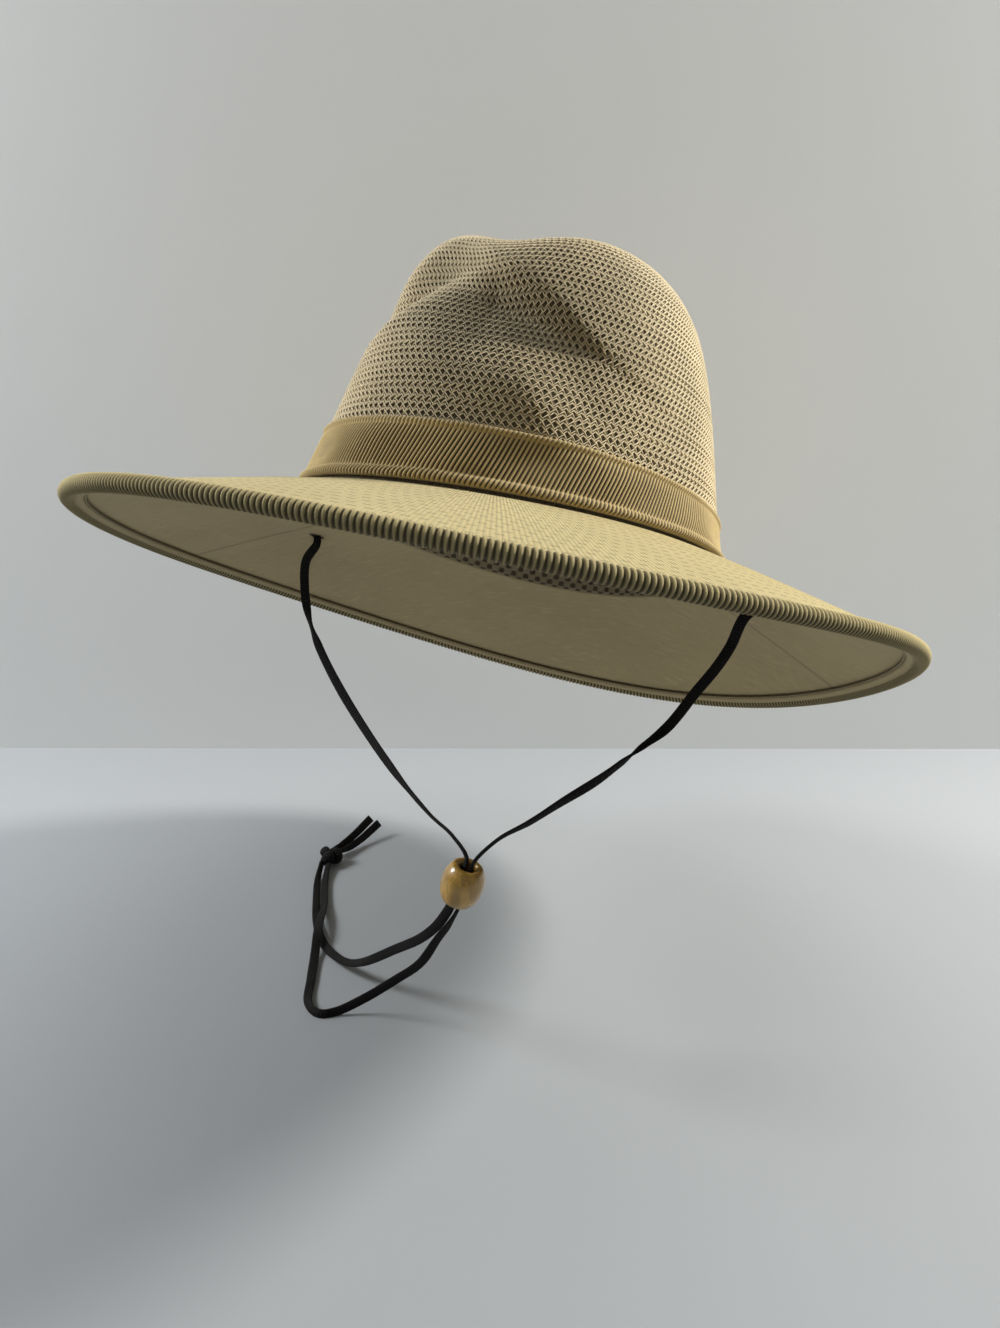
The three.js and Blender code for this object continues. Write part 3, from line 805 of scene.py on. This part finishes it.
class HAT_OT_crown(bpy.types.Operator):
    """Knits the pinched crown: rounds of zigzag yarn over a shell of the same cloth, whose colour is darkened as
    painted shade, most of all outside between the yarns
    """

    bl_idname = "safari_hat.crown"
    bl_label = "Knit crown"

    def execute(self, context):
        rounds = crown_rounds()
        self.shell(rounds)
        self.yarn(rounds)
        return {"FINISHED"}

    def shell(self, rounds):
        total = rounds[1][-1]
        count = 56
        heights = [sweep_at(rounds, total * number / (count - 1)) for number in range(count)]
        stations = [("hem", 0.5)] + [(sweep, 0.35) for sweep in heights] + [("top", 0.35)]
        stations += [("top", CROWN_WALL)] + [(sweep, CROWN_WALL) for sweep in reversed(heights)] + [("hem", CROWN_WALL)]

        def place(turn, station):
            key, inset = station
            if key == "hem":
                flat = opening_point(turn) - opening_outward(turn) * inset
                return worn(Vector((flat.x, flat.y, opening_height(turn) - CROWN_HEM + 0.05)))
            if key == "top":
                top = crown_point(0, math.pi / 2)
                return worn(Vector((top.x, top.y, top.z - inset)))
            return worn(moved_out(crown_point, turn, key, -inset))

        order = {station: number for number, station in enumerate(stations)}

        def chart(turn, station, _):
            number = order[station]
            number = min(number, len(stations) - 1 - number)
            return turn / TURN * sizes().knit_cells / 2, number * total / count / 5.4

        bm = drawn("knit_shell", 160, stations, place, chart, closed=True)
        for face in bm.faces:
            outside = face.calc_center_median()
            face.material_index = 0
        piece = finished("knit_shell", bm, [hollow_painted_shade_material(colours().knit), knit_painted_shade_material(colours().knit)], "mesh_cloth", "crown", merge=1e-5)
        # The inner wall faces the head and shows the knit with painted shade; the outer one is only seen between the
        # yarns and is painted dark as the shade there.
        centre = worn(Vector((CROWN_LEAN / 2, 0, 40)))
        for polygon in piece.data.polygons:
            towards = centre - polygon.center
            if polygon.normal.dot(towards) > 0:
                polygon.material_index = 1

    def yarn(self, rounds):
        pitch = sizes().knit_pitch / MM
        total = rounds[1][-1]
        rows = []
        distance = 17.0
        while distance < total - 3:
            rows.append(distance)
            distance += pitch
        self.strands("knit_wall", rounds, rows[: len(rows) // 2], 0)
        self.strands("knit_top", rounds, rows[len(rows) // 2 :], len(rows) // 2)

    def strands(self, name, rounds, rows, first):
        """Two wavy yarns for each round, whose peaks and dips meet the rounds above and below."""
        pitch = sizes().knit_pitch / MM
        cells = sizes().knit_cells
        wall = self.girth(sweep_at(rounds, 17.0))
        curve = bpy.data.curves.new(name, "CURVE")
        curve.dimensions = "3D"
        curve.bevel_depth = sizes().yarn_radius
        curve.bevel_resolution = 0
        for number, distance in enumerate(rows, first):
            girth = self.girth(sweep_at(rounds, distance))
            count = cells if girth > 0.72 * wall else max(6, round(girth / (0.78 * wall / cells)))
            for strand in (-1, 1):
                swing = pitch * 0.30
                middle = distance + strand * pitch * 0.20
                low = sweep_at(rounds, middle - swing)
                high = sweep_at(rounds, middle + swing)
                spline = curve.splines.new("POLY")
                spline.points.add(2 * count - 1)
                spline.use_cyclic_u = True
                for step in range(2 * count):
                    up = (step + number) % 2
                    turn = TURN * (step + 0.3 * math.sin(number * 2.4)) / (2 * count)
                    lift = 0.05 + (0.32 if up == (strand > 0) else -0.2)
                    spline.points[step].co = (*worn(moved_out(crown_point, turn, high if up else low, lift)), 1)
        spun = bpy.data.objects.new(name, curve)
        bpy.context.scene.collection.objects.link(spun)
        bpy.context.view_layer.update()
        mesh = bpy.data.meshes.new_from_object(spun.evaluated_get(bpy.context.evaluated_depsgraph_get()))
        bpy.data.objects.remove(spun)
        bpy.data.curves.remove(curve)
        mesh.name = name
        mesh.materials.clear()
        mesh.materials.append(bpy.data.materials.get("knit_yarn") or yarn_material(colours().knit))
        for polygon in mesh.polygons:
            polygon.use_smooth = True
        piece = bpy.data.objects.new(name, mesh)
        bpy.context.scene.collection.objects.link(piece)
        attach(piece, "root")

    def girth(self, sweep):
        ring = [crown_point(TURN * step / 24, sweep) for step in range(24)]
        return sum((ring[step] - ring[step - 1]).length for step in range(24))


class HAT_OT_band(bpy.types.Operator):
    """Wraps the corded hat band round the crown, with its flared lip over the brim"""

    bl_idname = "safari_hat.band"
    bl_label = "Hat band"

    def execute(self, context):
        def middle(turn):
            return crown_point(turn, sweep_for_share(12 / CROWN_HEIGHT))

        angle_at, length = evenly_round(middle)
        ribs = round(length * MM / sizes().band_pitch)
        # (height, out, how strong the ribs are, both in relief and in the shade painted in their valleys)
        outside = [(22.5, 0.5, 0.0), (23.1, 1.0, 0.1), (23.0, 1.65, 0.4), (22.2, 1.95, 0.6), (21.4, 1.75, 0.5), (20.9, 1.15, 0.3),
                   (20.3, 1.3, 0.8), (17.0, 1.35, 1), (13.5, 1.35, 1), (10.0, 1.4, 1), (7.5, 1.45, 1), (6.4, 1.3, 0.8), (5.8, 1.5, 0.4),
                   (5.3, 2.3, 0.7), (4.5, 2.75, 0.9), (3.6, 2.95, 0.9), (2.8, 2.7, 0.8), (2.2, 2.0, 0.3)]
        inside = [(2.2, 0.35, 0), (8.0, 0.35, 0), (15, 0.35, 0), (21.5, 0.35, 0)]
        stations = outside + inside

        def rib(turn):
            return abs(math.sin(turn * ribs / 2))

        def place(turn, station):
            height, out, strength = station
            angle = angle_at(turn) + 0.0039 * height
            sag = BAND_SAG["depth"] * bell(((math.degrees(angle) + 180) % 360 - 180 - BAND_SAG["angle"]) / BAND_SAG["spread"])
            sunk = height - sag * (height - BAND_FOOT) / (BAND_HEIGHT - BAND_FOOT)
            rumple = 0.5 * math.sin(11 * angle - 0.13 * height + 0.9) + 0.35 * math.sin(5 * angle + 0.17 * height)
            rumple *= math.sin(math.pi * min(max(height - 3, 0) / 19, 1)) if out > 1 else 0
            lift = out + strength * (rib(turn) - 0.75) * 0.8 + rumple
            return worn(moved_out(crown_point, angle, sweep_for_share(sunk / CROWN_HEIGHT), max(lift, out * 0.5)))

        def chart(turn, station, _):
            return turn / TURN * ribs, station[0]

        # Painted shade: low in the valleys between the cords, by each station's rib strength.
        def mark(turn, station):
            return 1 - station[2] * (1 - rib(turn))

        bm = drawn("corded_band", ribs * 6, stations, place, chart, closed=True, mark=mark)
        finished("corded_band", bm, [band_material(colours().band)], "band_cloth", "hat_band")
        return {"FINISHED"}


# ---------------------------------------------------------------- brim
SHEET_END = 1 - (ROLL_RADIUS + 0.3) / BRIM_WIDTH


class HAT_OT_brim(bpy.types.Operator):
    """Lays the drooping brim: canvas on top, plain lining below, and the turned hem with its stitched groove"""

    bl_idname = "safari_hat.brim"
    bl_label = "Brim"

    def execute(self, context):
        angle_at, ribs = edge_ribs()
        half = BRIM_SHEET / 2
        shares = [0.9 / BRIM_WIDTH] + [number / 26 for number in range(1, 25)] + [SHEET_END]
        stations = [(share, half) for share in shares] + [(share, -half) for share in reversed(shares)]

        def place(turn, station):
            share, lift = station
            return worn(moved_out(brim_point, angle_at(turn), share, -lift))

        def chart(turn, station, _):
            return turn / TURN * ribs, station[0] * BRIM_WIDTH / 5.6

        bm = drawn("brim_cloth", 240, stations, place, chart, closed=True)
        piece = finished("brim_cloth", bm, [canvas_material(colours().canvas), under_material(colours().lining, (ribs * 0.7403, ribs * 0.355))], "canvas", "brim")
        up = TIPPED_BACK @ Vector((0, 0, 1))
        for polygon in piece.data.polygons:
            if polygon.normal.dot(up) < 0:
                polygon.material_index = 1
        self.hem(angle_at, ribs, half)
        self.slits()
        return {"FINISHED"}

    def hem(self, angle_at, ribs, half):
        inner = 1 - HEM_WIDTH / BRIM_WIDTH
        upper = -half - 0.3
        # Each point: (share of the brim's width, offset from the middle of the sheet, painted light, where 0 paints
        # shade in the groove and at the inner edge)
        section = [(inner, upper - 0.05, 0), (inner - 0.003, upper - 0.5, 0), (inner + 0.002, upper - 0.9, 0.2),
                   (inner + 0.006, upper - 1.0, 1), (inner + 0.011, upper - 0.45, 0), (inner + 0.016, upper - 1.05, 1),
                   (0.952, upper - 1.05, 1), (0.978, upper - 0.85, 1), (0.978, upper - 0.05, 1)]

        def place(turn, station):
            return worn(moved_out(brim_point, angle_at(turn), station[0], -station[1]))

        def chart(turn, station, _):
            return turn / TURN * ribs, station[0] * BRIM_WIDTH / 5.6

        def mark(turn, station):
            return station[2]

        bm = drawn("turned_hem", 240, section, place, chart, closed=True, mark=mark)
        cloth = Cloth("turned_hem", 0.9, 0.05)
        shade = cloth.node("ShaderNodeAttribute", attribute_name="mark").outputs["Fac"]
        rib, row = cloth.chart()
        ridge = cloth.maths("ABSOLUTE", cloth.maths("SINE", cloth.maths("MULTIPLY", rib, math.pi)))
        thread = cloth.noise(1900, 2, 0.6)
        colour = colours().lining
        base = cloth.mix(cloth.stretch(thread, 0.3, 0.7, 0, 0.35), shaded(colour, 1.0), shaded(colour, 0.8))
        # Painted shade in the valleys between the ribs.
        base = cloth.mix(cloth.stretch(ridge, 0.0, 0.5, 0.3, 0), base, shaded(colour, 0.5))
        # Painted shade in the hem's groove and along its inner edge, where the section's last column is low.
        base = cloth.mix(cloth.stretch(shade, 0.1, 0.9, 0.8, 0), base, shaded(colour, 0.22))
        cloth.colour(base)
        cloth.relief(cloth.maths("ADD", thread, ridge), 0.0003, 0.6)
        finished("turned_hem", bm, [cloth.material], "canvas_under", "brim_hem")

    def slits(self):
        """A bound slit under each side of the brim, its opening painted nearly black as shade."""
        for side, name in ((-1, "right"), (1, "left")):
            middle, downward, around = slit_place(side)
            across = downward.cross(around).normalized()
            start = middle + downward * (BRIM_SHEET / 2)
            sections = [(0.0, 0.02), (0.75, 0.04), (1.0, 0.06), (1.12, 0.34), (1.3, 0.36), (1.45, 0.1), (1.5, -0.1)]

            def place(turn, station):
                reach, drop = station
                long = math.cos(turn) * (SLIT["length"] / 2 + (reach - 1) * 1.4) * min(reach, 1)
                lens = math.copysign(abs(math.sin(turn)) ** 1.3, math.sin(turn))
                wide = lens * SLIT["width"] / 2 * min(reach, 1) + math.sin(turn) * max(reach - 1, 0) * 1.4
                return worn(start + around * long + across * wide + downward * drop)

            def chart(turn, station, _):
                return turn / TURN * 40, station[0]

            bm = drawn(f"slit_{name}", 48, sections, place, chart)
            piece = finished(f"lace_slit_{name}", bm, [slit_painted_shade_material(), stitch_material(shaded(colours().lining, 0.7))], "canvas_under", merge=1e-5)
            direction = TIPPED_BACK @ downward
            if sum(polygon.normal.dot(direction) * polygon.area for polygon in piece.data.polygons) < 0:
                piece.data.flip_normals()
            centre = worn(start)
            for polygon in piece.data.polygons:
                away = polygon.center - centre
                along = away.dot(TIPPED_BACK @ around) / (SLIT["length"] / 2 * MM)
                beside = away.dot(TIPPED_BACK @ across) / (SLIT["width"] / 2 * MM)
                if abs(along) > 1 or abs(beside) > 1.02 - abs(along) ** 2 * 0.9:
                    polygon.material_index = 1


class HAT_OT_rolled_edge(bpy.types.Operator):
    """Rolls the ribbed canvas round the wadded edge of the brim"""

    bl_idname = "safari_hat.rolled_edge"
    bl_label = "Rolled edge"

    def execute(self, context):
        angle_at, ribs = edge_ribs()
        stations = list(range(16))

        def place(turn, station):
            section = TURN * station / len(stations)
            ridge = abs(math.sin(turn * ribs / 2))
            inward = max(0, -math.cos(section))
            radius = ROLL_RADIUS + (ridge - 0.6) * 0.8 * (1 - 0.8 * inward)
            outward = opening_outward(angle_at(turn))
            edge = brim_edge(angle_at(turn))
            across = radius * math.cos(section)
            return worn(edge + Vector((outward.x * across, outward.y * across, radius * math.sin(section))))

        def chart(turn, station, _):
            return turn / TURN * ribs, station / 4

        # Painted shade for the rolled edge: low in the valleys between the ribs and lower still on the underside of the
        # roll.
        def mark(turn, station):
            below = max(0, 0.15 - math.sin(TURN * station / len(stations)))
            return abs(math.sin(turn * ribs / 2)) - 0.3 * below

        bm = drawn("rolled_canvas", ribs * 4, stations, place, chart, closed=True, mark=mark)
        finished("rolled_canvas", bm, [edge_material(colours().canvas)], "canvas", "rolled_edge")
        return {"FINISHED"}


# ---------------------------------------------------------------- stage
def plain_material(name, colour, roughness, glow):
    stage = Cloth(name, roughness)
    stage.shader.inputs["Emission Color"].default_value = (*colour, 1)
    stage.shader.inputs["Emission Strength"].default_value = glow
    patch = stage.noise(3, 2)
    stage.colour(stage.mix(patch, shaded(colour, 0.97), shaded(colour, 1.02)))
    return stage.material


def clear_from_behind(material):
    """Lets the eye through the back of a backdrop, so that the hat shows from every side."""
    nodes, links = material.node_tree.nodes, material.node_tree.links
    output = next(node for node in nodes if node.type == "OUTPUT_MATERIAL")
    front = output.inputs["Surface"].links[0].from_socket
    either = nodes.new("ShaderNodeMixShader")
    links.new(nodes.new("ShaderNodeNewGeometry").outputs["Backfacing"], either.inputs["Fac"])
    links.new(front, either.inputs[1])
    links.new(nodes.new("ShaderNodeBsdfTransparent").outputs["BSDF"], either.inputs[2])
    links.new(either.outputs["Shader"], output.inputs["Surface"])


class HAT_OT_stage(bpy.types.Operator):
    """Sets the camera, a plain pale floor and wall, and soft studio light"""

    bl_idname = "safari_hat.stage"
    bl_label = "Stage"

    def execute(self, context):
        scene = context.scene
        lens = bpy.data.cameras.new("camera")
        lens.sensor_width = 36
        lens.lens = 32.74
        lens.clip_start = 0.01
        camera = bpy.data.objects.new("camera", lens)
        columns = (CAMERA_RIGHT, CAMERA_UP, -CAMERA_FORWARD)
        camera.matrix_world = Matrix.LocRotScale(CAMERA_PLACE, Matrix(columns).transposed(), None)
        scene.collection.objects.link(camera)
        scene.camera = camera
        scene.view_settings.view_transform = "Standard"

        ahead = Vector((CAMERA_FORWARD.x, CAMERA_FORWARD.y, 0)).normalized()
        side = Vector((ahead.y, -ahead.x, 0))
        wall_at = CAMERA_PLACE + ahead * 0.70
        self.sheet("floor", [CAMERA_PLACE - ahead * 1.2 - side * 2.5, CAMERA_PLACE - ahead * 1.2 + side * 2.5,
                             wall_at + side * 2.5, wall_at - side * 2.5], FLOOR_HEIGHT, FLOOR_HEIGHT, (0.37, 0.385, 0.40), 0)
        self.sheet("wall", [wall_at - side * 2.5, wall_at + side * 2.5, wall_at + side * 2.5, wall_at - side * 2.5],
                   FLOOR_HEIGHT, 0.34, (0.62, 0.63, 0.62), 0.24)

        world = bpy.data.worlds.new("studio")
        scene.world = world
        world.use_nodes = True
        world.node_tree.nodes["Background"].inputs["Color"].default_value = (0.93, 0.96, 1.0, 1)
        world.node_tree.nodes["Background"].inputs["Strength"].default_value = 0.16
        middle = Vector((0, 0, 0))
        for name, offset, size, power, tint in (
            ("key", ahead * 0.17 + side * 0.82 + Vector((0, 0, 0.46)), 0.16, 12.5, (1.0, 0.98, 0.93)),
            ("top", side * 0.1 + Vector((0, 0, 1.1)), 0.8, 2.6, (1.0, 0.99, 0.96)),
            ("fill", ahead * 0.14 - side * 0.75 + Vector((0, 0, 0.36)), 0.3, 6.5, (0.96, 0.98, 1.0)),
        ):
            light = bpy.data.lights.new(name, "AREA")
            light.shape = "DISK"
            light.size = size
            light.energy = power
            light.color = tint
            lamp = bpy.data.objects.new(name, light)
            lamp.location = middle + offset
            lamp.rotation_euler = (middle - lamp.location).to_track_quat("-Z", "Y").to_euler()
            scene.collection.objects.link(lamp)
        return {"FINISHED"}

    def sheet(self, name, corners, low, high, colour, glow):
        bm = bmesh.new()
        bmesh.ops.create_grid(bm, x_segments=1, y_segments=1, size=1)
        heights = (low, low, high, high)
        order = sorted(bm.verts, key=lambda vert: math.atan2(vert.co.y, vert.co.x))
        for vert, corner, height in zip(order, corners, heights):
            vert.co = Vector((corner.x, corner.y, height))
        bmesh.ops.recalc_face_normals(bm, faces=bm.faces)
        away = [face for face in bm.faces if face.normal.dot(CAMERA_PLACE - face.calc_center_median()) < 0]
        bmesh.ops.reverse_faces(bm, faces=away)
        mesh = bpy.data.meshes.new(name)
        bm.to_mesh(mesh)
        bm.free()
        piece = bpy.data.objects.new(name, mesh)
        bpy.context.scene.collection.objects.link(piece)
        backdrop = plain_material(name, colour, 0.75, glow)
        clear_from_behind(backdrop)
        mesh.materials.append(backdrop)


class HAT_PT_panel(bpy.types.Panel):
    """Lists the hat's pieces, sizes and colours"""

    bl_idname = "HAT_PT_panel"
    bl_label = "Safari hat"
    bl_space_type = "VIEW_3D"
    bl_region_type = "UI"
    bl_category = "Safari hat"

    def draw(self, context):
        for made in OPERATORS:
            self.layout.operator(made.bl_idname)
        for group in (context.scene.safari_hat_sizes, context.scene.safari_hat_colours):
            for name in group.__annotations__:
                self.layout.prop(group, name)


OPERATORS = (HAT_OT_stage, HAT_OT_bead, HAT_OT_laces, HAT_OT_crown, HAT_OT_band, HAT_OT_brim, HAT_OT_rolled_edge)
CLASSES = (HatSizes, HatColours, *OPERATORS, HAT_PT_panel)


def register():
    for made in CLASSES:
        bpy.utils.register_class(made)
    bpy.types.Scene.safari_hat_sizes = PointerProperty(type=HatSizes)
    bpy.types.Scene.safari_hat_colours = PointerProperty(type=HatColours)


def unregister():
    del bpy.types.Scene.safari_hat_sizes
    del bpy.types.Scene.safari_hat_colours
    for made in reversed(CLASSES):
        bpy.utils.unregister_class(made)


def main():
    register()
    bpy.ops.safari_hat.stage()
    bpy.ops.safari_hat.bead()
    bpy.ops.safari_hat.laces()
    bpy.ops.safari_hat.crown()
    bpy.ops.safari_hat.band()
    bpy.ops.safari_hat.brim()
    bpy.ops.safari_hat.rolled_edge()


if __name__ == "__main__":
    main()
